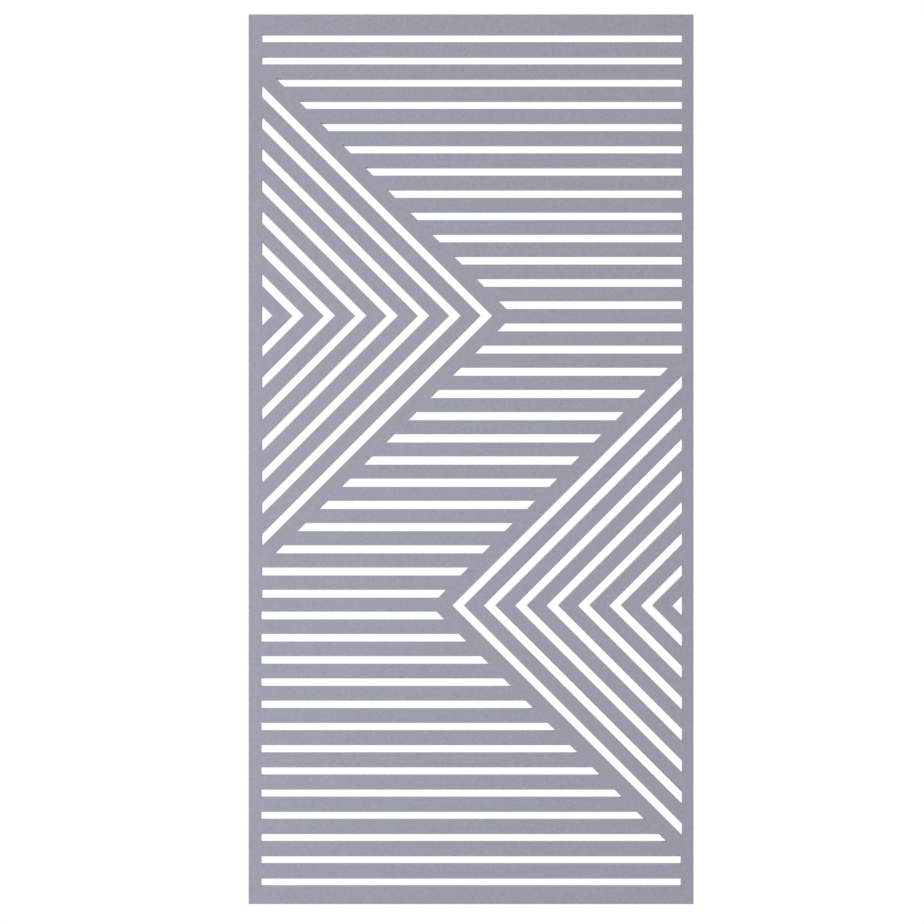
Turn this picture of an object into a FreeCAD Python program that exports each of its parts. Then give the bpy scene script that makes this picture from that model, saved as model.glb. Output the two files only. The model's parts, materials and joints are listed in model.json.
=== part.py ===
import FreeCAD
import Part
import Sketcher

import os
import re

# Hanging room divider: a stiff felt sheet cut through with stripes and nested chevrons, and the
# hanging kit screwed to its back: an extruded rail, two sliding hangers, their locks and end caps.
# X runs along the sheet, Y from its face to its back, Z up. The origin lies midway between the two
# hanger eyes, in the middle of the arms' thickness.

# Driving sizes in millimetres. The counts are plain numbers.
SIZES = {
    # The sheet
    "panel_width": 1200,
    "panel_height": 2400,
    "panel_thickness": 12,
    # Stripes: drop and rise run from the top and bottom edge to the nearest centre line
    "slot_width": 22.5,
    "slot_pitch": 60,
    "upper_stripe_count": 26,
    "upper_stripe_drop": 63.5,
    "upper_left_border": 34.6,
    "upper_right_border": 29.2,
    "lower_stripe_rise": 57.5,
    "lower_border": 32.4,
    # Chevrons: reach runs from the side edge to the outermost point, slat is the felt left beside it
    "chevron_count": 8,
    "left_chevron_reach": 641.4,
    "left_chevron_drop": 812.1,
    "left_slat": 39.4,
    "right_chevron_reach": 635.1,
    "right_chevron_rise": 804.8,
    "right_slat": 41.2,
    "cutter_overrun": 2,
    # Rail: a back-facing channel with a screw flange above it
    "rail_inset": 40,
    "rail_depth": 10,
    "channel_height": 20,
    "channel_wall": 2,
    "channel_mouth": 8,
    "lip_thickness": 2,
    "flange_height": 16,
    "flange_thickness": 2,
    # Rail screws
    "screw_count": 8,
    "screw_end_distance": 20,
    "screw_shank_radius": 2,
    "screw_head_radius": 4,
    "screw_head_height": 2.6,
    "screw_point_length": 2,
    "screw_bite": 9.5,
    "screw_hole_clearance": 0.25,
    "pilot_clearance": 0.05,
    # End caps
    "cap_thickness": 3,
    "cap_plug_depth": 8,
    "cap_plug_clearance": 0.15,
    # Hangers
    "hanger_inset": 150,
    "slider_length": 30,
    "slider_clearance": 0.2,
    "arm_thickness": 2.5,
    "arm_radius": 8,
    "arm_reach": 20,
    "arm_gap": 0.2,
    "eye_radius": 4,
    "eye_drop": 10,
    # Locks
    "stud_radius": 3,
    "stud_tip_clearance": 0.6,
    "stud_grip": 6,
    "running_clearance": 0.05,
    "washer_radius": 7,
    "washer_thickness": 1,
    "knob_radius": 9,
    "knob_height": 9,
    "knob_collar_radius": 6.5,
    "knob_collar_height": 2,
    "knob_edge": 1,
    "knob_scallop_count": 8,
    "knob_scallop_radius": 2.5,
    "knob_scallop_depth": 1,
}

# Places worked out from the sizes, as expressions
RAIL_BACK = "(-arm_thickness / 2 - arm_gap)"
RAIL_FRONT = f"({RAIL_BACK} - rail_depth)"
PANEL_MIDDLE = f"({RAIL_FRONT} - panel_thickness / 2)"
PANEL_CENTRE_HEIGHT = "(eye_drop - panel_height / 2)"
RAIL_HALF = "(panel_width / 2 - rail_inset)"
CHANNEL_AXIS = "(-arm_reach)"
CHANNEL_HALF = "(channel_height / 2 - channel_wall)"
CHANNEL_FLOOR = f"({RAIL_FRONT} + channel_wall)"
LIP_INSIDE = f"({RAIL_BACK} - lip_thickness)"
RAIL_BOTTOM = f"({CHANNEL_AXIS} - channel_height / 2)"
CHANNEL_TOP = f"({CHANNEL_AXIS} + channel_height / 2)"
FLANGE_TOP = f"({CHANNEL_TOP} + flange_height)"
FLANGE_BACK = f"({RAIL_FRONT} + flange_thickness)"
SCREW_HEIGHT = f"({CHANNEL_TOP} + flange_height / 2)"
FIRST_SCREW = f"(screw_end_distance - {RAIL_HALF})"
STUD_HOLE = "(stud_radius + running_clearance)"
HANGER_OFFSET = "(panel_width / 2 - hanger_inset)"
WASHER_FRONT = "(arm_thickness / 2 + arm_gap)"
KNOB_FRONT = f"({WASHER_FRONT} + washer_thickness)"
CUTTER_DEPTH = "(panel_thickness + 2 * cutter_overrun)"
SLOT_HALF_RUN = "(slot_width / sqrt(2))"

doc = FreeCAD.newDocument("hanging_room_divider")
sheet = doc.addObject("Spreadsheet::Sheet", "Sizes")
for row, (alias, number) in enumerate(SIZES.items(), start=1):
    sheet.set(f"A{row}", alias)
    sheet.set(f"B{row}", str(number))
    sheet.setAlias(f"B{row}", alias)
doc.recompute()


def tied(text):
    """The expression with every size name pointing at its cell."""
    return re.sub(r"[a-z_]+", lambda word: f"Sizes.{word[0]}" if word[0] in SIZES else word[0], text)


def bind(thing, target, text):
    thing.setExpression(target, tied(text))


def number_of(text):
    return float(sheet.evalExpression(tied(text)))


def place(thing, x, y, z):
    for axis, text in zip("xyz", (x, y, z)):
        bind(thing, f"Placement.Base.{axis}", text)


def new_body(label, x="0", y="0", z="0"):
    body = doc.addObject("PartDesign::Body", label)
    body.Label = label
    place(body, x, y, z)
    return body


def origin_part(body, role):
    return next(part for part in body.Origin.OriginFeatures if part.Role == role)


def new_sketch(body, name, plane):
    sketch = body.newObject("Sketcher::SketchObject", name)
    sketch.AttachmentSupport = (origin_part(body, plane), [""])
    sketch.MapMode = "FlatFace"
    return sketch


def fix(sketch, kind, places, text):
    """Adds a sketch dimension and ties it to the sizes."""
    index = sketch.addConstraint(Sketcher.Constraint(kind, *places, number_of(text)))
    bind(sketch, f"Constraints[{index}]", text)


def fix_point(sketch, line, end, x, y):
    fix(sketch, "DistanceX", (-1, 1, line, end), x)
    fix(sketch, "DistanceY", (-1, 1, line, end), y)


def draw_polygon(sketch, corners):
    points = [FreeCAD.Vector(number_of(x), number_of(y), 0) for x, y in corners]
    ends = points[1:] + points[:1]
    lines = [sketch.addGeometry(Part.LineSegment(start, end)) for start, end in zip(points, ends)]
    for line, following in zip(lines, lines[1:] + lines[:1]):
        sketch.addConstraint(Sketcher.Constraint("Coincident", line, 2, following, 1))
    for line, (x, y) in zip(lines, corners):
        fix_point(sketch, line, 1, x, y)


def draw_rectangle(sketch, left, right, bottom, top):
    draw_polygon(sketch, [(left, bottom), (right, bottom), (right, top), (left, top)])


def draw_circle(sketch, x, y, radius):
    middle = FreeCAD.Vector(number_of(x), number_of(y), 0)
    ring = sketch.addGeometry(Part.Circle(middle, FreeCAD.Vector(0, 0, 1), number_of(radius)))
    fix_point(sketch, ring, 3, x, y)
    fix(sketch, "Radius", (ring,), radius)


def pad(body, sketch, name, length):
    """Thickens a sketch evenly to both sides of its plane."""
    feature = body.newObject("PartDesign::Pad", name)
    feature.Profile = sketch
    feature.SideType = "Symmetric"
    bind(feature, "Length", length)
    return feature


def pocket_through(body, sketch, name):
    feature = body.newObject("PartDesign::Pocket", name)
    feature.Profile = sketch
    feature.SideType = "Symmetric"
    feature.Type = "ThroughAll"
    return feature


def revolve(body, sketch, name):
    """Turns a sketch, drawn as radius against depth, a full circle about Y."""
    feature = body.newObject("PartDesign::Revolution", name)
    feature.Profile = sketch
    feature.ReferenceAxis = (sketch, ["V_Axis"])
    feature.Angle = 360
    return feature


def repeat_along(body, feature, axis, spacing, count, backwards=False):
    pattern = body.newObject("PartDesign::LinearPattern", f"{feature.Name}_row")
    pattern.Originals = [feature]
    pattern.Direction = (origin_part(body, axis), [""])
    pattern.Reversed = backwards
    pattern.Mode = "Spacing"
    bind(pattern, "Offset", spacing)
    bind(pattern, "Occurrences", count)
    body.Tip = pattern
    return pattern


def join(name, *pieces):
    union = doc.addObject("Part::MultiFuse", name)
    union.Shapes = list(pieces)
    return union


def cut(name, base, tool):
    rest = doc.addObject("Part::Cut", name)
    rest.Base = base
    rest.Tool = tool
    return rest


def panel_body(label):
    """A body centred in the sheet."""
    return new_body(label, y=PANEL_MIDDLE, z=PANEL_CENTRE_HEIGHT)


def stripe_cutter(label, left, right, height, count, backwards):
    body = panel_body(label)
    sketch = new_sketch(body, f"{label}_outline", "XZ_Plane")
    half = "slot_width / 2"
    draw_rectangle(sketch, left, right, f"{height} - {half}", f"{height} + {half}")
    bar = pad(body, sketch, f"{label}_bar", CUTTER_DEPTH)
    repeat_along(body, bar, "Z_Axis", "slot_pitch", count, backwards)
    return body


def chevron_cutter(label, point, height, reach, way):
    """Nested V slots that point along X, towards plus or minus as way says."""
    body = panel_body(label)
    sketch = new_sketch(body, f"{label}_outline", "XZ_Plane")
    tail = f"{point} - {way} * {reach}"
    outer = f"({reach} + {SLOT_HALF_RUN})"
    inner = f"({reach} - {SLOT_HALF_RUN})"
    draw_polygon(sketch, [
        (f"{point} + {way} * {SLOT_HALF_RUN}", height),
        (tail, f"{height} + {outer}"),
        (tail, f"{height} + {inner}"),
        (f"{point} - {way} * {SLOT_HALF_RUN}", height),
        (tail, f"{height} - {inner}"),
        (tail, f"{height} - {outer}"),
    ])
    arrow = pad(body, sketch, f"{label}_arrow", CUTTER_DEPTH)
    repeat_along(body, arrow, "X_Axis", "slot_pitch * sqrt(2)", "chevron_count", way > 0)
    return body


def stripe_limit(label, point, height, reach, slat, way):
    """The triangle that holds a nest of chevrons, where no stripe may run."""
    body = panel_body(label)
    sketch = new_sketch(body, f"{label}_outline", "XZ_Plane")
    beyond = f"({SLOT_HALF_RUN} + {slat} * sqrt(2))"
    tail = f"{point} - {way} * {reach}"
    draw_polygon(sketch, [
        (f"{point} + {way} * {beyond}", height),
        (tail, f"{height} + {reach} + {beyond}"),
        (tail, f"{height} - {reach} - {beyond}"),
    ])
    pad(body, sketch, f"{label}_wedge", CUTTER_DEPTH)
    return body


def repeat_screws(body, feature):
    spacing = f"-2 * {FIRST_SCREW} / (screw_count - 1)"
    repeat_along(body, feature, "X_Axis", spacing, "screw_count")


def pilot_cutter():
    """The blind holes in the sheet's back that the rail screws bite into."""
    body = new_body("pilot_holes", x=FIRST_SCREW, y=f"{RAIL_FRONT} - screw_bite / 2", z=SCREW_HEIGHT)
    sketch = new_sketch(body, "pilot_outline", "XZ_Plane")
    draw_circle(sketch, "0", "0", "screw_shank_radius + pilot_clearance")
    repeat_screws(body, pad(body, sketch, "pilot_pin", "screw_bite"))
    return body


def make_felt_panel():
    half_width = "panel_width / 2"
    half_height = "panel_height / 2"
    left_field = f"upper_left_border - {half_width}"
    right_field = f"{half_width} - upper_right_border"

    blank = panel_body("sheet_blank")
    outline = new_sketch(blank, "sheet_outline", "XZ_Plane")
    draw_rectangle(outline, f"-{half_width}", half_width, f"-{half_height}", half_height)
    pad(blank, outline, "sheet_pad", "panel_thickness")

    upper_span = "(upper_stripe_drop + (upper_stripe_count - 1) * slot_pitch)"
    lower_count = f"round((panel_height - {upper_span} - lower_stripe_rise) / slot_pitch)"
    upper_height = f"{half_height} - upper_stripe_drop"
    lower_height = f"lower_stripe_rise - {half_height}"
    lower_end = f"{half_width} - lower_border"
    stripes = join(
        "stripes",
        stripe_cutter("upper_stripes", left_field, right_field, upper_height, "upper_stripe_count", True),
        stripe_cutter("lower_stripes", f"-({lower_end})", lower_end, lower_height, lower_count, False),
    )

    left_point = f"left_chevron_reach - {half_width}"
    left_height = f"{half_height} - left_chevron_drop"
    right_point = f"{half_width} - right_chevron_reach"
    right_height = f"right_chevron_rise - {half_height}"
    limits = join(
        "stripe_limits",
        stripe_limit("left_limit", left_point, left_height, "left_chevron_reach", "left_slat", 1),
        stripe_limit("right_limit", right_point, right_height, "right_chevron_reach", "right_slat", -1),
    )
    chevrons = join(
        "chevrons",
        chevron_cutter("left_chevrons", left_point, left_height, "left_chevron_reach", 1),
        chevron_cutter("right_chevrons", right_point, right_height, "right_chevron_reach", -1),
    )
    field = panel_body("cut_field")
    field_outline = new_sketch(field, "field_outline", "XZ_Plane")
    draw_rectangle(field_outline, left_field, right_field, f"-{half_height}", half_height)
    pad(field, field_outline, "field_pad", CUTTER_DEPTH)
    framed_chevrons = doc.addObject("Part::MultiCommon", "framed_chevrons")
    framed_chevrons.Shapes = [chevrons, field]

    openings = join("openings", cut("ended_stripes", stripes, limits), framed_chevrons)
    panel = cut("felt_panel", cut("slotted_sheet", blank, openings), pilot_cutter())
    panel.Label = "felt_panel"
    return panel


def channel_corners(way):
    """Half of the channel's hollow, from its mouth inwards, above or below its axis as way says."""
    inside = f"{CHANNEL_AXIS} + {way} * {CHANNEL_HALF}"
    edge = f"{CHANNEL_AXIS} + {way} * channel_mouth / 2"
    return [(RAIL_BACK, edge), (LIP_INSIDE, edge), (LIP_INSIDE, inside), (CHANNEL_FLOOR, inside)]


def make_hanging_rail():
    body = new_body("hanging_rail")
    sketch = new_sketch(body, "rail_section", "YZ_Plane")
    draw_polygon(sketch, [
        (RAIL_FRONT, RAIL_BOTTOM),
        (RAIL_BACK, RAIL_BOTTOM),
        *channel_corners(-1),
        *reversed(channel_corners(1)),
        (RAIL_BACK, CHANNEL_TOP),
        (FLANGE_BACK, CHANNEL_TOP),
        (FLANGE_BACK, FLANGE_TOP),
        (RAIL_FRONT, FLANGE_TOP),
    ])
    pad(body, sketch, "rail_pad", f"2 * {RAIL_HALF}")
    holes = new_sketch(body, "rail_hole", "XZ_Plane")
    draw_circle(holes, FIRST_SCREW, SCREW_HEIGHT, "screw_shank_radius + screw_hole_clearance")
    repeat_screws(body, pocket_through(body, holes, "rail_hole_cut"))
    return body


def make_rail_screws():
    seat = f"({FLANGE_BACK} - {RAIL_FRONT} + screw_bite)"
    body = new_body("rail_screws", x=FIRST_SCREW, y=f"{RAIL_FRONT} - screw_bite", z=SCREW_HEIGHT)
    sketch = new_sketch(body, "screw_half", "XY_Plane")
    draw_polygon(sketch, [
        ("0", "0"),
        ("screw_shank_radius", "screw_point_length"),
        ("screw_shank_radius", seat),
        ("screw_head_radius", seat),
        ("screw_head_radius", f"{seat} + screw_head_height"),
        ("0", f"{seat} + screw_head_height"),
    ])
    repeat_screws(body, revolve(body, sketch, "screw"))
    return body


def make_end_cap(side, way):
    """A plate over the rail's end, with a plug that fills the channel."""
    body = new_body(f"rail_end_cap_{side}", x=f"{way} * ({RAIL_HALF} + cap_thickness / 2)")
    plate = new_sketch(body, f"cap_plate_{side}", "YZ_Plane")
    draw_polygon(plate, [
        (RAIL_FRONT, RAIL_BOTTOM),
        (RAIL_BACK, RAIL_BOTTOM),
        (RAIL_BACK, CHANNEL_TOP),
        (FLANGE_BACK, FLANGE_TOP),
        (RAIL_FRONT, FLANGE_TOP),
    ])
    pad(body, plate, f"cap_plate_pad_{side}", "cap_thickness")
    plug = new_sketch(body, f"cap_plug_{side}", "YZ_Plane")
    bind(plug, "AttachmentOffset.Base.z", f"-{way} * (cap_thickness + cap_plug_depth) / 2")
    reach = f"({CHANNEL_HALF} - cap_plug_clearance)"
    draw_rectangle(
        plug,
        f"{CHANNEL_FLOOR} + cap_plug_clearance",
        f"{LIP_INSIDE} - cap_plug_clearance",
        f"{CHANNEL_AXIS} - {reach}",
        f"{CHANNEL_AXIS} + {reach}",
    )
    pad(body, plug, f"cap_plug_pad_{side}", "cap_plug_depth")
    return body


def make_slider(side, way):
    """A nut that runs in the channel, with a neck that stands in the mouth."""
    body = new_body(f"slider_{side}", x=f"{way} * {HANGER_OFFSET}", z=CHANNEL_AXIS)
    sketch = new_sketch(body, f"slider_section_{side}", "YZ_Plane")
    floor = f"{CHANNEL_FLOOR} + slider_clearance"
    shoulder = f"{LIP_INSIDE} - slider_clearance"
    crown = f"{RAIL_BACK} - slider_clearance"
    wide = f"({CHANNEL_HALF} - slider_clearance)"
    narrow = "(channel_mouth / 2 - slider_clearance)"
    draw_polygon(sketch, [
        (floor, f"-{wide}"),
        (shoulder, f"-{wide}"),
        (shoulder, f"-{narrow}"),
        (crown, f"-{narrow}"),
        (crown, narrow),
        (shoulder, narrow),
        (shoulder, wide),
        (floor, wide),
    ])
    pad(body, sketch, f"slider_pad_{side}", "slider_length")
    bore = new_sketch(body, f"slider_bore_{side}", "XZ_Plane")
    draw_circle(bore, "0", "0", STUD_HOLE)
    pocket_through(body, bore, f"slider_bore_cut_{side}")
    return body


def make_hanger_arm(side, way):
    """A flat tab with round ends: pivot hole below, hanging eye above."""
    body = new_body(f"hanger_arm_{side}", x=f"{way} * {HANGER_OFFSET}")
    sketch = new_sketch(body, f"arm_outline_{side}", "XZ_Plane")
    draw_circle(sketch, "0", "0", "arm_radius")
    pad(body, sketch, f"arm_eye_end_{side}", "arm_thickness")
    shank = new_sketch(body, f"arm_shank_{side}", "XZ_Plane")
    draw_rectangle(shank, "-arm_radius", "arm_radius", CHANNEL_AXIS, "0")
    pad(body, shank, f"arm_shank_pad_{side}", "arm_thickness")
    foot = new_sketch(body, f"arm_foot_{side}", "XZ_Plane")
    draw_circle(foot, "0", CHANNEL_AXIS, "arm_radius")
    pad(body, foot, f"arm_foot_pad_{side}", "arm_thickness")
    eye = new_sketch(body, f"arm_eye_{side}", "XZ_Plane")
    draw_circle(eye, "0", "0", "eye_radius")
    pocket_through(body, eye, f"arm_eye_cut_{side}")
    pivot = new_sketch(body, f"arm_pivot_{side}", "XZ_Plane")
    draw_circle(pivot, "0", CHANNEL_AXIS, STUD_HOLE)
    pocket_through(body, pivot, f"arm_pivot_cut_{side}")
    return body


def make_lock_stud(side, way):
    """The threaded stud, from inside the slider to inside the knob, as a plain pin."""
    body = new_body(f"lock_stud_{side}", x=f"{way} * {HANGER_OFFSET}", z=CHANNEL_AXIS)
    sketch = new_sketch(body, f"stud_half_{side}", "XY_Plane")
    tip = f"{CHANNEL_FLOOR} + stud_tip_clearance"
    draw_polygon(sketch, [
        ("0", tip),
        ("stud_radius", tip),
        ("stud_radius", f"{KNOB_FRONT} + stud_grip"),
        ("0", f"{KNOB_FRONT} + stud_grip"),
    ])
    revolve(body, sketch, f"stud_turn_{side}")
    return body


def make_lock_washer(side, way):
    body = new_body(
        f"lock_washer_{side}",
        x=f"{way} * {HANGER_OFFSET}",
        y=f"{WASHER_FRONT} + washer_thickness / 2",
        z=CHANNEL_AXIS,
    )
    sketch = new_sketch(body, f"washer_outline_{side}", "XZ_Plane")
    draw_circle(sketch, "0", "0", "washer_radius")
    draw_circle(sketch, "0", "0", STUD_HOLE)
    pad(body, sketch, f"washer_pad_{side}", "washer_thickness")
    return body


def make_lock_knob(side, way):
    """A scalloped grip on a round collar, with a blind hole for the stud."""
    body = new_body(f"lock_knob_{side}", x=f"{way} * {HANGER_OFFSET}", y=KNOB_FRONT, z=CHANNEL_AXIS)
    sketch = new_sketch(body, f"knob_half_{side}", "XY_Plane")
    hole_end = "stud_grip + running_clearance"
    draw_polygon(sketch, [
        (STUD_HOLE, "0"),
        ("knob_collar_radius", "0"),
        ("knob_collar_radius", "knob_collar_height"),
        ("knob_radius", "knob_collar_height"),
        ("knob_radius", "knob_height - knob_edge"),
        ("knob_radius - knob_edge", "knob_height"),
        ("0", "knob_height"),
        ("0", hole_end),
        (STUD_HOLE, hole_end),
    ])
    revolve(body, sketch, f"knob_turn_{side}")
    scallop = new_sketch(body, f"knob_scallop_{side}", "XZ_Plane")
    scallop_centre = "knob_radius + knob_scallop_radius - knob_scallop_depth"
    draw_circle(scallop, "0", scallop_centre, "knob_scallop_radius")
    groove = pocket_through(body, scallop, f"knob_scallop_cut_{side}")
    ring = body.newObject("PartDesign::PolarPattern", f"knob_scallop_ring_{side}")
    ring.Originals = [groove]
    ring.Axis = (origin_part(body, "Y_Axis"), [""])
    ring.Angle = 360
    bind(ring, "Occurrences", "knob_scallop_count")
    body.Tip = ring
    return body


nodes = [make_felt_panel(), make_hanging_rail(), make_rail_screws()]
paired = (make_end_cap, make_slider, make_hanger_arm, make_lock_stud, make_lock_washer, make_lock_knob)
for side, way in (("left", -1), ("right", 1)):
    nodes += [make(side, way) for make in paired]
doc.recompute()

failed = [thing.Name for thing in doc.Objects if {"Invalid", "Error"} & set(thing.State)]
if failed:
    raise RuntimeError(f"not built: {failed}")
for node in nodes:
    if node.Shape.isNull() or not node.Shape.isValid():
        raise RuntimeError(f"{node.Label} has no valid shape")

os.makedirs("parts", exist_ok=True)
for node in nodes:
    node.Shape.exportStep(f"parts/{node.Label}.step")
    print(node.Label, len(node.Shape.Solids), "solids", round(node.Shape.Volume), "mm3")
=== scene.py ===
import json
import math
from itertools import pairwise

import bmesh
import bpy
from mathutils import Matrix, Vector


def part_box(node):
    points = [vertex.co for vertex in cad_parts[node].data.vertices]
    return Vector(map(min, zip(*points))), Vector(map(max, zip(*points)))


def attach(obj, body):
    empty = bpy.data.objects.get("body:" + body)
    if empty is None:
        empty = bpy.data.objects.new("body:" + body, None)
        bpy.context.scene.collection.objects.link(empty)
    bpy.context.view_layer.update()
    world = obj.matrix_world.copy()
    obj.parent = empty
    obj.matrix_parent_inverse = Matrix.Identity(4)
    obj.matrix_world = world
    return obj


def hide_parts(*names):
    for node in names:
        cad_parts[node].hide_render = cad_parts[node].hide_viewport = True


# Looks of the hanging room divider: the cut felt sheet, the rail and hangers behind it, the floor,
# the light and the camera. Lengths are metres in the frame of the solids. In the materials a count is
# features a metre, a span is the part of a texture's range that is used, and a share multiplies a
# colour.

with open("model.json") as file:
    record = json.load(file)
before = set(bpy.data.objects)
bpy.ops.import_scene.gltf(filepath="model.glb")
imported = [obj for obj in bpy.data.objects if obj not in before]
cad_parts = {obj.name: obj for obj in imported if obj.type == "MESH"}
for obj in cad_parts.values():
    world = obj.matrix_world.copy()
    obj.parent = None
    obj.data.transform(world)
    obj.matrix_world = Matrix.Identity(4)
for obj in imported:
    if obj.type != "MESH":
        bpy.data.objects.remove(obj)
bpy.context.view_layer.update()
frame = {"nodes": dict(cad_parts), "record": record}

MM = 0.001
WELD = 0.001 * MM
WELD_DIGITS = 6
HARD_EDGE = math.radians(35)
FLAT_EDGE = math.radians(0.5)
STRAIGHT = 1e-4
FACING_FRONT = -0.99
TEXTURE_MIDDLE = 0.5
WHITE = (1, 1, 1)

# Felt
FELT_GREY = (0.335, 0.339, 0.405)
PALE_FIBRE_SHARE = 1.5
DARK_FIBRE_SHARE = 0.62
PALE_FIBRE_TURNS = (8, 52, 97, 141)
DARK_FIBRE_TURNS = (30, 75, 118, 163)
FIBRE_STRETCH = (8, 1, 1)
FIBRE_BENDS = 140.0
FIBRE_CURL = 8 * MM
FIBRE_RISE = 0.6
FELT_RELIEF = 0.35 * MM
FACE_MATERIAL = 0
CUT_MATERIAL = 1

# Cut edges of the felt, with the lines between its layers measured in layers
CUT_ROUND = 0.3 * MM
CUT_ROUND_STEPS = 3
# The cut walls are drawn paler than the face, partly because fibre ends stand out and partly as painted
# light that lifts the shade inside the slots
CUT_FIBRE_AND_PAINTED_LIGHT_SHARE = 1.25
CUT_LAYERS = 4
HALF_LAYER = 0.5
LINE_SHARE = 0.9
LINE_WIDTH = 0.09
LINE_STRENGTH = 0.3

# Metals and plastics
RAIL_METAL = (0.5, 0.505, 0.515)
ARM_METAL = (0.4, 0.405, 0.415)
PLATE_METAL = (0.5, 0.505, 0.5)
PLATE_BLOOM = (0.47, 0.44, 0.37)
BLACK = (0.02, 0.02, 0.022)
BLACK_WORN = (0.036, 0.036, 0.038)
NYLON = (0.68, 0.67, 0.62)
NYLON_PALE = (0.76, 0.75, 0.71)
RAIL_LINES = (100, 1, 1)
ARM_LINES = (1, 1, 30)
DULL_SHARE = 0.82
SMOOTHER = 0.08
ROUGHER = 0.1

# Softened edges. On the rail, the sliders and the knobs, edges up to LONG_EDGE stay sharp, because the
# short facets of their holes and rims would narrow the softening everywhere.
SOFT_STEPS = 3
RAIL_SOFT = 0.3 * MM
CAP_SOFT = 0.5 * MM
SLIDER_SOFT = 0.3 * MM
ARM_SOFT = 0.35 * MM
WASHER_SOFT = 0.2 * MM
KNOB_SOFT = 0.15 * MM
LONG_EDGE = 1.5 * MM

# Screws and studs
ROUND_SIDES = 32
SCREW_HEAD_HEIGHT = 2.6 * MM
SCREW_HEAD_SIDE = 0.8 * MM
SCREW_TOP_RADIUS = 2.7 * MM
SCREW_DOME_STEPS = 5
SCREW_POINT = 2 * MM
SCREW_TURN = 0.7
RECESS_ARMS = 4
RECESS_ARM = 1.9 * MM
RECESS_HALF_WIDTH = 0.45 * MM
RECESS_DEPTH = 1.4 * MM
RECESS_TAPER = 0.6
THREAD_PITCH = 1 * MM
THREAD_DEPTH = 0.61 * MM
THREAD_ROWS = 6

# Knobs, whose end is rounded over at its rim, flat, and then sinks to a dish
KNOB_ROUND = 0.25 * MM
KNOB_FALL = math.tan(math.radians(22.5))
KNOB_RIM = 1.25 * MM
KNOB_SLOPE = 0.8 * MM
KNOB_DISH = 0.6 * MM
KNOB_DISH_STEPS = 6

# Room, light and camera
FLOOR_DROP = 0.3
FLOOR_HALF = 15.0
FLOOR_TILES = 4
FLOOR_GREY = (0.86, 0.86, 0.87)
# Near the sheet the floor glows only at FLOOR_GLOW, rising to full white by FADE_END, which paints a
# soft shade round the sheet's foot on top of its real shadow
FLOOR_GLOW = 0.35
FADE_START = 0.0
FADE_END = 0.48
AMBIENT = 0.725
CAMERA_DISTANCE = 2.652
CAMERA_SIDE = -0.02455
CAMERA_LIFT = -0.00742
CAMERA_LENS = 38.305
CAMERA_SENSOR = 36

# Places and bodies of the solids
felt_low, felt_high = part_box("felt_panel")
felt_centre = (felt_low + felt_high) / 2
screw_low, screw_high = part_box("rail_screws")
bodies = frame["record"]["behaviour"]["bodies"]
body_of = {node: body for body, nodes in bodies.items() for node in nodes}


# Material nodes

def start_material(name):
    """A new node material, its tree and its shader."""
    material = bpy.data.materials.new(name)
    material.use_nodes = True
    tree = material.node_tree
    return material, tree, tree.nodes["Principled BSDF"]


def feed(tree, node, inputs):
    """Fills a node's inputs, each with a plain value or another node's output socket."""
    for socket, value in inputs.items():
        if isinstance(value, bpy.types.NodeSocket):
            tree.links.new(value, node.inputs[socket])
        else:
            node.inputs[socket].default_value = value


def put(tree, kind, inputs, **settings):
    """Adds a node with its settings and inputs."""
    node = tree.nodes.new(kind)
    for name, value in settings.items():
        setattr(node, name, value)
    feed(tree, node, inputs)
    return node


def place_of(tree):
    """The point on the object, in metres."""
    return put(tree, "ShaderNodeTexCoord", {}).outputs["Object"]


def noise(tree, place, count, detail=2.0, stretch=(1, 1, 1), turn=(0, 0, 0)):
    """Noise from 0 to 1, drawn out along its own turned axes by stretch."""
    spread = {"Vector": place, "Rotation": turn, "Scale": stretch}
    mapped = put(tree, "ShaderNodeMapping", spread, vector_type="TEXTURE").outputs["Vector"]
    texture = put(tree, "ShaderNodeTexNoise", {"Vector": mapped, "Scale": count, "Detail": detail})
    return texture.outputs["Fac"]


def math_node(tree, operation, first, second=0.0):
    """One step of arithmetic on numbers."""
    return put(tree, "ShaderNodeMath", {0: first, 1: second}, operation=operation).outputs["Value"]


def vector_node(tree, operation, first, second):
    """One step of arithmetic on vectors."""
    node = put(tree, "ShaderNodeVectorMath", {0: first, 1: second}, operation=operation)
    return node.outputs["Vector"]


def remap(tree, value, span, to=(0.0, 1.0), kind="LINEAR"):
    """Takes a span of values to another range."""
    ends = {"Value": value, "From Min": span[0], "From Max": span[1], "To Min": to[0], "To Max": to[1]}
    return put(tree, "ShaderNodeMapRange", ends, interpolation_type=kind).outputs["Result"]


def blend(tree, amount, first, second, mode="MIX"):
    """Mixes two colours."""
    parts = {"Factor": amount, "A": first, "B": second}
    return put(tree, "ShaderNodeMix", parts, data_type="RGBA", blend_type=mode).outputs["Result"]


def rgba(colour, share=1.0):
    """A colour, or a share of it, as the nodes take it."""
    return (*(channel * share for channel in colour), 1.0)


def tones(tree, value, colour, span, shares):
    """A colour that goes from one share of itself to another over a span of values."""
    low, high = shares
    return blend(tree, remap(tree, value, span), rgba(colour, low), rgba(colour, high))


def bump(tree, height, strength, distance):
    """Normals from a height."""
    relief = {"Height": height, "Strength": strength, "Distance": distance}
    return put(tree, "ShaderNodeBump", relief).outputs["Normal"]


# Materials

def curl(tree, place):
    """The place on the object pushed about a little, so that what is drawn there bends like fibre."""
    warp = put(tree, "ShaderNodeTexNoise", {"Vector": place, "Scale": FIBRE_BENDS, "Detail": 1.0})
    push = vector_node(tree, "SUBTRACT", warp.outputs["Color"], (TEXTURE_MIDDLE,) * 3)
    return vector_node(tree, "ADD", place, vector_node(tree, "MULTIPLY", push, (FIBRE_CURL,) * 3))


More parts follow.
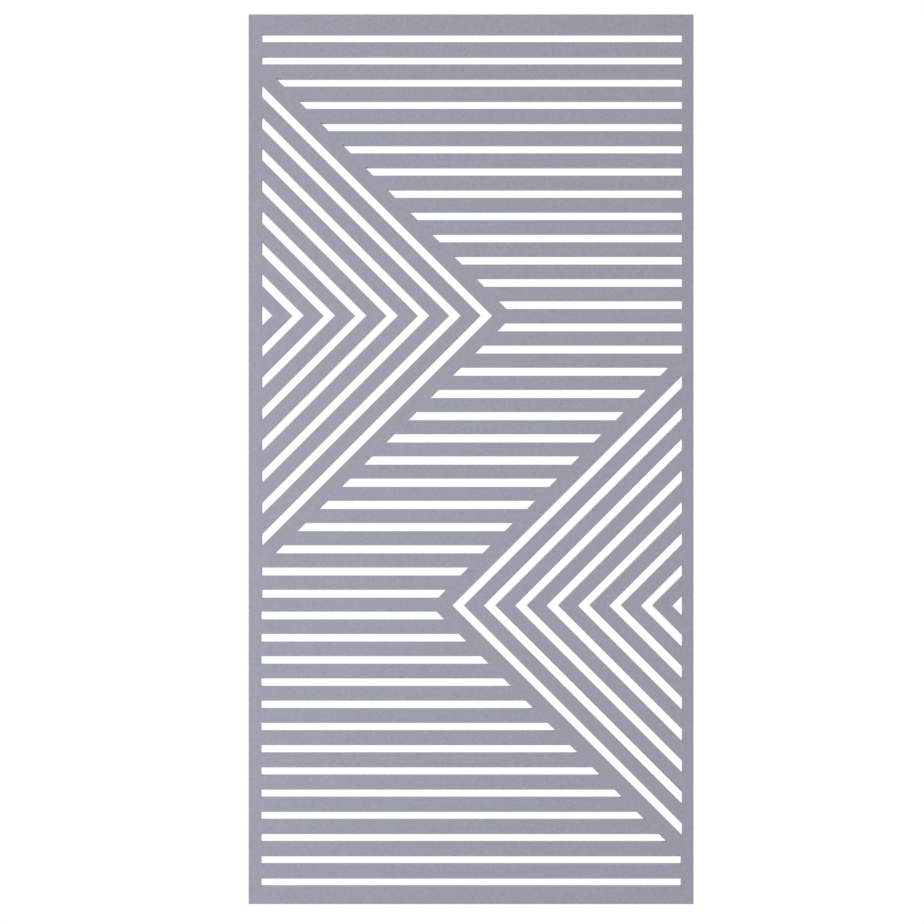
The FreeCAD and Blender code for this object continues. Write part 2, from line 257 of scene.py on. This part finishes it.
def fibres(tree, place, turns, count, width):
    """Thin strands that lie along each of the turns, 1 on a strand and 0 between."""
    web = None
    for degrees in turns:
        turn = (0, math.radians(degrees), 0)
        field = noise(tree, place, count, detail=1.0, stretch=FIBRE_STRETCH, turn=turn)
        apart = math_node(tree, "ABSOLUTE", math_node(tree, "SUBTRACT", field, TEXTURE_MIDDLE))
        strand = remap(tree, apart, span=(0.0, width), to=(1.0, 0.0))
        web = strand if web is None else math_node(tree, "MAXIMUM", web, strand)
    return web


def felt_shade(tree, place, pale, dark):
    """Heathered grey: mid fibres with paler and darker ones through them, and their height."""
    bent = curl(tree, place)
    pale_web = fibres(tree, bent, PALE_FIBRE_TURNS, count=760, width=0.04)
    dark_web = fibres(tree, bent, DARK_FIBRE_TURNS, count=690, width=0.035)
    tufts = noise(tree, place, count=190, detail=4.0)
    clouds = noise(tree, place, count=8, detail=3.0)
    mid = tones(tree, tufts, FELT_GREY, span=(0.3, 0.7), shares=(0.9, 1.1))
    drift = tones(tree, clouds, WHITE, span=(0.35, 0.65), shares=(0.985, 1.015))
    ground = blend(tree, 1.0, mid, drift, "MULTIPLY")
    some_dark = math_node(tree, "MULTIPLY", dark_web, dark)
    some_pale = math_node(tree, "MULTIPLY", pale_web, pale)
    darkened = blend(tree, some_dark, ground, rgba(FELT_GREY, DARK_FIBRE_SHARE))
    heathered = blend(tree, some_pale, darkened, rgba(FELT_GREY, PALE_FIBRE_SHARE))
    height = math_node(tree, "ADD", math_node(tree, "MULTIPLY", pale_web, FIBRE_RISE), tufts)
    return heathered, height


def felt_surface(tree, shader, colour, height, strength):
    """Dull, softly napped, and a little smoother where the fibres stand up."""
    feed(tree, shader, {
        "Base Color": colour,
        "Roughness": remap(tree, height, span=(0.3, 1.2), to=(1.0, 0.86)),
        "Specular IOR Level": 0.15,
        "Sheen Weight": 0.12,
        "Sheen Roughness": 0.6,
        "Normal": bump(tree, height, strength, FELT_RELIEF),
    })


def felt_face_material():
    """The pressed face, with fibres lying in it every way."""
    material, tree, shader = start_material("felt_face")
    colour, height = felt_shade(tree, place_of(tree), pale=0.55, dark=0.5)
    felt_surface(tree, shader, colour, height, strength=0.4)
    return material


def felt_cut_material():
    """The cut wall: pressed layers seen end on, paler than the face partly where the fibre ends stand
    out and partly as painted light that lifts the shade inside the slots.
    """
    material, tree, shader = start_material("felt_cut_edge")
    place = place_of(tree)
    colour, height = felt_shade(tree, place, pale=0.75, dark=0.3)
    depth = put(tree, "ShaderNodeSeparateXYZ", {"Vector": place}).outputs["Y"]
    into = math_node(tree, "SUBTRACT", depth, felt_low.y)
    layer = math_node(tree, "MULTIPLY", into, CUT_LAYERS / (felt_high.y - felt_low.y))
    wander = remap(tree, noise(tree, place, count=60), span=(0.3, 0.7), to=(0.4, 0.6))
    from_line = math_node(tree, "PINGPONG", math_node(tree, "ADD", layer, wander), HALF_LAYER)
    line = remap(tree, from_line, span=(0.0, LINE_WIDTH), to=(LINE_STRENGTH, 0.0))
    # Painted light: the wall's colour is raised to lift the shade in the slots, on top of its paler
    # fibre ends
    pale = blend(tree, 1.0, colour, rgba(WHITE, CUT_FIBRE_AND_PAINTED_LIGHT_SHARE), "MULTIPLY")
    lined = blend(tree, line, pale, rgba(FELT_GREY, LINE_SHARE))
    felt_surface(tree, shader, lined, height, strength=0.7)
    return material


def brushed_metal(name, colour, stretch, roughness):
    """Metal with fine lines along one axis and a cloudy finish."""
    material, tree, shader = start_material(name)
    place = place_of(tree)
    lines = noise(tree, place, count=1800, detail=3.0, stretch=stretch)
    clouds = noise(tree, place, count=130)
    tone = tones(tree, lines, colour, span=(0.3, 0.7), shares=(0.88, 1.06))
    dull = remap(tree, clouds, span=(0.4, 0.75), to=(0.0, 0.35))
    gloss = (roughness - SMOOTHER, roughness + ROUGHER)
    feed(tree, shader, {
        "Base Color": blend(tree, dull, tone, rgba(colour, DULL_SHARE)),
        "Metallic": 1.0,
        "Roughness": remap(tree, lines, span=(0.25, 0.75), to=gloss),
        "Normal": bump(tree, lines, strength=0.12, distance=0.05 * MM),
    })
    return material


def plated_metal(name, colour, bloom):
    """Plated steel, with the faint crystal bloom that plating leaves."""
    material, tree, shader = start_material(name)
    place = place_of(tree)
    cells = put(tree, "ShaderNodeTexVoronoi", {"Vector": place, "Scale": 700.0}).outputs["Distance"]
    haze = noise(tree, place, count=260, detail=3.0)
    tone = tones(tree, cells, colour, span=(0.1, 0.7), shares=(0.92, 1.05))
    dull = remap(tree, haze, span=(0.45, 0.7), to=(0.0, 0.4))
    feed(tree, shader, {
        "Base Color": blend(tree, dull, tone, rgba(bloom)),
        "Metallic": 1.0,
        "Roughness": remap(tree, haze, span=(0.3, 0.7), to=(0.24, 0.4)),
        "Normal": bump(tree, cells, strength=0.06, distance=0.05 * MM),
    })
    return material


def moulded_plastic(name, colour, worn, roughness, grain):
    """Moulded plastic with a fine eroded grain, polished a little where it is handled."""
    material, tree, shader = start_material(name)
    place = place_of(tree)
    pits = noise(tree, place, count=grain)
    wear = noise(tree, place, count=170, detail=3.0)
    gloss = (roughness + ROUGHER, roughness - SMOOTHER)
    feed(tree, shader, {
        "Base Color": blend(tree, remap(tree, wear, span=(0.35, 0.75)), rgba(colour), rgba(worn)),
        "Roughness": remap(tree, wear, span=(0.3, 0.7), to=gloss),
        "Normal": bump(tree, pits, strength=0.25, distance=0.08 * MM),
    })
    return material


# Shared by the pieces

def around(ring):
    """The pairs of neighbours round a closed ring."""
    return zip(ring, ring[1:] + ring[:1])


def with_neighbours(points):
    """Each point of a closed outline between the one before it and the one after it."""
    return zip(points[-1:] + points[:-1], points, points[1:] + points[:1])


def bridge(mesh, near, far):
    """Joins two rings of points by a band of faces."""
    band = []
    for near_pair, far_pair in zip(around(near), around(far)):
        band.append(mesh.faces.new((*near_pair, *reversed(far_pair))))
    return band


def fill_between(mesh, rings):
    """Closes the flat area inside one ring of points and outside the others."""
    edges = [mesh.edges.get(pair) for ring in rings for pair in around(ring)]
    bmesh.ops.triangle_fill(mesh, edges=edges, use_beauty=True, normal=(0, -1, 0))
    empty = [face for face in mesh.faces if face.calc_area() < WELD * WELD]
    bmesh.ops.delete(mesh, geom=empty, context="FACES")


def add_piece(mesh, node, *materials):
    """Puts a mesh into the scene as a piece that stands for a solid, on its body and with its slot."""
    piece = bpy.data.objects.new(mesh.name, mesh)
    bpy.context.scene.collection.objects.link(piece)
    for material in materials:
        mesh.materials.append(material)
    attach(piece, body_of[node])
    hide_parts(node)
    return piece


# Felt sheet

def faces_front(face):
    """Whether a face looks out of the sheet's front."""
    return face.normal.y < FACING_FRONT


def true_corners(points):
    """Drops the points that lie on a straight run."""
    kept = []
    for before, point, after in with_neighbours(points):
        bend = (point - before).normalized().cross((after - point).normalized())
        if abs(bend) > STRAIGHT:
            kept.append(point)
    return kept


def front_outlines(solid):
    """The closed outlines of a flat solid's front face, felt on the left, as corners in x and z."""
    mesh = bmesh.new()
    mesh.from_mesh(solid.data)
    bmesh.ops.remove_doubles(mesh, verts=mesh.verts, dist=WELD)
    front = [face for face in mesh.faces if faces_front(face)]
    following = {}
    for face in front:
        for corner in face.loops:
            if not all(faces_front(neighbour) for neighbour in corner.edge.link_faces):
                following[corner.vert] = corner.link_loop_next.vert
    outlines = []
    while following:
        start, point = following.popitem()
        outline = [start]
        while point is not start:
            outline.append(point)
            point = following.pop(point)
        outlines.append(true_corners([Vector((point.co.x, point.co.z)) for point in outline]))
    mesh.free()
    return outlines


def inset(outline, distance):
    """The outline moved into the felt, with mitred corners."""
    moved = []
    for before, point, after in with_neighbours(outline):
        left = (point - before).normalized().orthogonal()
        next_left = (after - point).normalized().orthogonal()
        moved.append(point + (left + next_left) * distance / (1 + left.dot(next_left)))
    return moved


def cut_section():
    """The rounded cut from face to back: how far into the felt, and at which depth."""
    front_round = []
    for step in range(CUT_ROUND_STEPS + 1):
        angle = math.pi / 2 * step / CUT_ROUND_STEPS
        into = CUT_ROUND * (1 - math.sin(angle))
        front_round.append((into, felt_low.y + CUT_ROUND * (1 - math.cos(angle))))
    back_round = [(into, felt_low.y + felt_high.y - depth) for into, depth in reversed(front_round)]
    return front_round + back_round


def cut_through(mesh, outline):
    """Adds the wall of one cut, and gives its rims on the face and on the back."""
    rings = []
    for into, depth in cut_section():
        rings.append([mesh.verts.new((point.x, depth, point.y)) for point in inset(outline, into)])
    for step, (near, far) in enumerate(pairwise(rings)):
        is_wall = step == CUT_ROUND_STEPS
        for face in bridge(mesh, near, far):
            face.smooth = not is_wall
            face.material_index = CUT_MATERIAL if is_wall else FACE_MATERIAL
    return rings[0], rings[-1]


def make_felt_sheet():
    """The sheet, with its outer edge and every slot rounded over."""
    solid = frame["nodes"]["felt_panel"]
    mesh = bmesh.new()
    rims = [cut_through(mesh, outline) for outline in front_outlines(solid)]
    for flat_side in zip(*rims):
        fill_between(mesh, flat_side)
    bmesh.ops.recalc_face_normals(mesh, faces=mesh.faces)
    data = bpy.data.meshes.new("felt_sheet")
    mesh.to_mesh(data)
    mesh.free()
    sheet = add_piece(data, "felt_panel", felt_face_material(), felt_cut_material())


# Hanging kit

def solid_copy(node):
    """A node's mesh welded into plain faces, in a new bmesh."""
    mesh = bmesh.new()
    mesh.from_mesh(frame["nodes"][node].data)
    bmesh.ops.remove_doubles(mesh, verts=mesh.verts, dist=WELD)
    bmesh.ops.dissolve_limit(mesh, angle_limit=FLAT_EDGE, verts=mesh.verts, edges=mesh.edges)
    return mesh


def plain_mesh(name, source):
    """A mesh with nothing on it but the points and faces of a bmesh, shaded smooth."""
    source.verts.index_update()
    points = [vert.co[:] for vert in source.verts]
    faces = [[vert.index for vert in face.verts] for face in source.faces]
    source.free()
    data = bpy.data.meshes.new(name)
    data.from_pydata(points, [], faces)
    data.shade_smooth()
    data.set_sharp_from_angle(angle=HARD_EDGE)
    return data


def soften(piece, width, shortest=0.0):
    """Rounds the hard edges, as extruding, tumbling or moulding leaves them, apart from short ones."""
    mesh = bmesh.new()
    mesh.from_mesh(piece.data)
    weight = mesh.edges.layers.float.new("bevel_weight_edge")
    for edge in mesh.edges:
        if edge.calc_face_angle() > HARD_EDGE and edge.calc_length() > shortest:
            edge[weight] = 1.0
    mesh.to_mesh(piece.data)
    mesh.free()
    bevel = piece.modifiers.new("soft_edges", "BEVEL")
    bevel.limit_method = "WEIGHT"
    bevel.width = width
    bevel.segments = SOFT_STEPS
    bevel.harden_normals = True


def dress(node, name, material, width, shortest=0.0):
    """A copy of a solid with softened edges, standing for it."""
    piece = add_piece(plain_mesh(name, solid_copy(node)), node, material)
    soften(piece, width, shortest)


def knob_end_steps():
    """The steps from the rim of a knob's end to the floor of its dish: how far in, and how far up."""
    depths = []
    for step in range(KNOB_DISH_STEPS + 1):
        depths.append(KNOB_DISH * (1 - math.cos(math.pi * step / KNOB_DISH_STEPS)) / 2)
    dish = [(KNOB_SLOPE / KNOB_DISH_STEPS, above - below) for above, below in pairwise(depths)]
    return [(KNOB_ROUND, 0.0), (KNOB_RIM, 0.0), *dish]


def make_knob(node, name, material):
    """The scalloped knob, with the rim of its end rounded over and a shallow dish inside the rim."""
    mesh = solid_copy(node)
    heights = {face: round(face.calc_center_median().y, WELD_DIGITS) for face in mesh.faces}
    end = max(mesh.faces, key=lambda face: (heights[face], face.calc_area()))
    centre = end.calc_center_median()
    flat_radius = (end.verts[0].co - centre).length - KNOB_ROUND
    for inwards, upwards in knob_end_steps():
        bmesh.ops.inset_individual(mesh, faces=[end], thickness=inwards, depth=upwards)
    for point in mesh.verts:
        past_flat = math.hypot(point.co.x - centre.x, point.co.z - centre.z) - flat_radius
        point.co.y = min(point.co.y, centre.y - KNOB_FALL * max(past_flat, 0.0))
    soften(add_piece(plain_mesh(name, mesh), node, material), KNOB_SOFT, LONG_EDGE)


def ring_at(mesh, axis, depth, radii):
    """A ring of points round a screw's axis, each at its own radius."""
    ring = []
    for side, radius in enumerate(radii):
        angle = 2 * math.pi * side / len(radii)
        place = (axis.x + radius * math.cos(angle), depth, axis.z + radius * math.sin(angle))
        ring.append(mesh.verts.new(place))
    return ring


def cross_at(mesh, axis, depth, size, turn):
    """The cross of a recess, scaled by size and turned about the screw's axis."""
    arm = RECESS_ARM * size
    half = RECESS_HALF_WIDTH * size
    cross = []
    for step in range(RECESS_ARMS):
        spin = Matrix.Rotation(2 * math.pi * step / RECESS_ARMS + turn, 2)
        for corner in ((half, half), (half, arm), (-half, arm)):
            x, z = spin @ Vector(corner)
            cross.append(mesh.verts.new((axis.x + x, depth, axis.z + z)))
    return cross


def screw_section():
    """The screw's half section from its point to the rim of its flat top, as radius and depth."""
    head = (screw_high.z - screw_low.z) / 2
    shank = head / 2
    seat = screw_high.y - SCREW_HEAD_HEIGHT
    shoulder = seat + SCREW_HEAD_SIDE
    points = [(shank, screw_low.y + SCREW_POINT), (shank, seat), (head, seat), (head, shoulder)]
    for step in range(1, SCREW_DOME_STEPS + 1):
        angle = math.pi / 2 * step / SCREW_DOME_STEPS
        radius = SCREW_TOP_RADIUS + (head - SCREW_TOP_RADIUS) * math.cos(angle)
        points.append((radius, shoulder + (screw_high.y - shoulder) * math.sin(angle)))
    return points


def add_screw(mesh, axis, turn):
    """One screw, with a point, a plain shank, a domed head and a tapered cross recess."""
    point = mesh.verts.new((axis.x, screw_low.y, axis.z))
    rings = [ring_at(mesh, axis, depth, [radius] * ROUND_SIDES) for radius, depth in screw_section()]
    for pair in around(rings[0]):
        mesh.faces.new((point, *pair))
    for near, far in pairwise(rings):
        bridge(mesh, near, far)
    mouth = cross_at(mesh, axis, screw_high.y, size=1.0, turn=turn)
    floor = cross_at(mesh, axis, screw_high.y - RECESS_DEPTH, size=RECESS_TAPER, turn=turn)
    bridge(mesh, mouth, floor)
    mesh.faces.new(floor)
    fill_between(mesh, (rings[-1], mouth))


def make_screws(material):
    """The rail screws, each turned as it happened to stop."""
    corners = frame["nodes"]["rail_screws"].data.vertices
    points = {tuple(round(value, WELD_DIGITS) for value in corner.co) for corner in corners}
    tips = sorted(point for point in points if point[1] < screw_low.y + WELD)
    mesh = bmesh.new()
    for count, tip in enumerate(tips):
        add_screw(mesh, Vector(tip), SCREW_TURN * count)
    bmesh.ops.recalc_face_normals(mesh, faces=mesh.faces)
    add_piece(plain_mesh("pan_head_screws", mesh), "rail_screws", material)


def thread_radii(along, growth, crest):
    """The radii round a right-hand thread at one place along it, where its ridge has grown that far."""
    radii = []
    for side in range(ROUND_SIDES):
        turn = (along / THREAD_PITCH + side / ROUND_SIDES) % 1
        ridge = abs(2 * turn - 1)
        radii.append(crest - THREAD_DEPTH * (1 - ridge * growth))
    return radii


def make_stud(node, name, material):
    """A stud threaded all along, with the thread running out at both ends."""
    low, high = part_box(node)
    length = high.y - low.y
    rows = round(length / THREAD_PITCH * THREAD_ROWS)
    mesh = bmesh.new()
    rings = []
    for row in range(rows + 1):
        along = length * row / rows
        growth = min(1, along / THREAD_PITCH, (length - along) / THREAD_PITCH)
        radii = thread_radii(along, growth, crest=(high.x - low.x) / 2)
        rings.append(ring_at(mesh, (low + high) / 2, low.y + along, radii))
    for near, far in pairwise(rings):
        bridge(mesh, near, far)
    mesh.faces.new(rings[0])
    mesh.faces.new(rings[-1])
    bmesh.ops.recalc_face_normals(mesh, faces=mesh.faces)
    add_piece(plain_mesh(name, mesh), node, material)


def make_hanging_kit():
    """The rail with its screws and caps, and the two hangers that slide in it."""
    aluminium = brushed_metal("anodised_aluminium", RAIL_METAL, RAIL_LINES, roughness=0.36)
    arm_steel = brushed_metal("arm_steel", ARM_METAL, ARM_LINES, roughness=0.34)
    plated = plated_metal("zinc_plate", PLATE_METAL, PLATE_BLOOM)
    black = moulded_plastic("black_moulding", BLACK, BLACK_WORN, roughness=0.5, grain=5200)
    nylon = moulded_plastic("nylon", NYLON, NYLON_PALE, roughness=0.42, grain=3000)
    dress("hanging_rail", "rail_profile", aluminium, RAIL_SOFT, LONG_EDGE)
    make_screws(plated)
    for side in ("left", "right"):
        dress(f"rail_end_cap_{side}", f"cap_moulding_{side}", black, CAP_SOFT)
        dress(f"slider_{side}", f"sliding_nut_{side}", plated, SLIDER_SOFT, LONG_EDGE)
        dress(f"hanger_arm_{side}", f"eye_tab_{side}", arm_steel, ARM_SOFT)
        dress(f"lock_washer_{side}", f"nylon_washer_{side}", nylon, WASHER_SOFT)
        make_knob(f"lock_knob_{side}", f"knob_moulding_{side}", black)
        make_stud(f"lock_stud_{side}", f"threaded_stud_{side}", plated)


# Floor, light and camera

def seen_directly(tree):
    """1 where a surface is seen by the camera, in a mirror or through glass, else 0."""
    path = put(tree, "ShaderNodeLightPath", {}).outputs
    direct = math_node(tree, "MAXIMUM", path["Is Camera Ray"], path["Is Glossy Ray"])
    return math_node(tree, "MAXIMUM", direct, path["Is Transmission Ray"])


def away_from_sheet(tree, place):
    """How far a point of the floor lies from the line under the sheet."""
    split = put(tree, "ShaderNodeSeparateXYZ", {"Vector": place}).outputs
    past_end = math_node(tree, "SUBTRACT", math_node(tree, "ABSOLUTE", split["X"]), felt_high.x)
    beside = math_node(tree, "MAXIMUM", past_end, 0.0)
    apart = put(tree, "ShaderNodeCombineXYZ", {"X": beside, "Y": split["Y"]}).outputs["Vector"]
    return put(tree, "ShaderNodeVectorMath", {0: apart}, operation="LENGTH").outputs["Value"]


def floor_material():
    """Pale floor under the sheet, fading to the white of the room around it; its glow is weakest along
    the line under the sheet, which paints a soft shade round the sheet's foot on top of its real
    shadow.
    """
    material, tree, shader = start_material("pale_floor")
    place = place_of(tree)
    grain = noise(tree, place, count=240, detail=3.0)
    feed(tree, shader, {
        "Base Color": tones(tree, grain, FLOOR_GREY, span=(0.0, 1.0), shares=(0.98, 1.02)),
        "Roughness": 0.85,
        "Specular IOR Level": 0.2,
    })
    away = away_from_sheet(tree, place)
    # Painted shade: less white glow close to the sheet, more further away
    fade = remap(tree, away, span=(FADE_START, FADE_END), to=(FLOOR_GLOW, 1.0), kind="SMOOTHSTEP")
    white = put(tree, "ShaderNodeEmission", {"Color": rgba(WHITE), "Strength": 1.0})
    mixed = put(tree, "ShaderNodeMixShader", {
        "Fac": math_node(tree, "MULTIPLY", fade, seen_directly(tree)),
        1: shader.outputs["BSDF"],
        2: white.outputs["Emission"],
    })
    feed(tree, tree.nodes["Material Output"], {"Surface": mixed.outputs["Shader"]})
    return material


def make_floor():
    """A wide floor a little below the hanging sheet."""
    mesh = bmesh.new()
    bmesh.ops.create_grid(mesh, x_segments=FLOOR_TILES, y_segments=FLOOR_TILES, size=FLOOR_HALF)
    data = bpy.data.meshes.new("floor")
    mesh.to_mesh(data)
    mesh.free()
    data.materials.append(floor_material())
    floor = bpy.data.objects.new("floor", data)
    floor.location = (0, felt_centre.y, felt_low.z - FLOOR_DROP)
    bpy.context.scene.collection.objects.link(floor)


def make_world():
    """Even light from all round, which the camera sees as white."""
    world = bpy.data.worlds.new("studio")
    world.use_nodes = True
    tree = world.node_tree
    strength = remap(tree, seen_directly(tree), span=(0.0, 1.0), to=(AMBIENT, 1.0))
    feed(tree, tree.nodes["Background"], {"Color": rgba(WHITE), "Strength": strength})
    bpy.context.scene.world = world


def add_softbox(name, offset, size, power):
    """A square soft light that faces the middle of the sheet."""
    lamp = bpy.data.lights.new(name, "AREA")
    lamp.shape = "SQUARE"
    lamp.size = size
    lamp.energy = power
    softbox = bpy.data.objects.new(name, lamp)
    softbox.location = felt_centre + Vector(offset)
    softbox.rotation_euler = (-Vector(offset)).to_track_quat("-Z", "Y").to_euler()
    softbox.visible_camera = False
    bpy.context.scene.collection.objects.link(softbox)


def make_camera():
    """A level camera in front of the sheet, close to its middle."""
    lens = bpy.data.cameras.new("camera")
    lens.lens = CAMERA_LENS
    lens.sensor_width = CAMERA_SENSOR
    camera = bpy.data.objects.new("camera", lens)
    camera.location = (
        felt_centre.x + CAMERA_SIDE,
        felt_low.y - CAMERA_DISTANCE,
        felt_centre.z + CAMERA_LIFT,
    )
    camera.rotation_euler = (math.pi / 2, 0, 0)
    bpy.context.scene.collection.objects.link(camera)
    bpy.context.scene.camera = camera


make_felt_sheet()
make_hanging_kit()
make_floor()
make_world()
add_softbox("key", offset=(-2.3, -3.1, -0.3), size=3.0, power=52)
add_softbox("back_fill", offset=(1.6, 4.0, 0.8), size=5.0, power=65)
make_camera()
bpy.context.scene.view_settings.view_transform = "Standard"
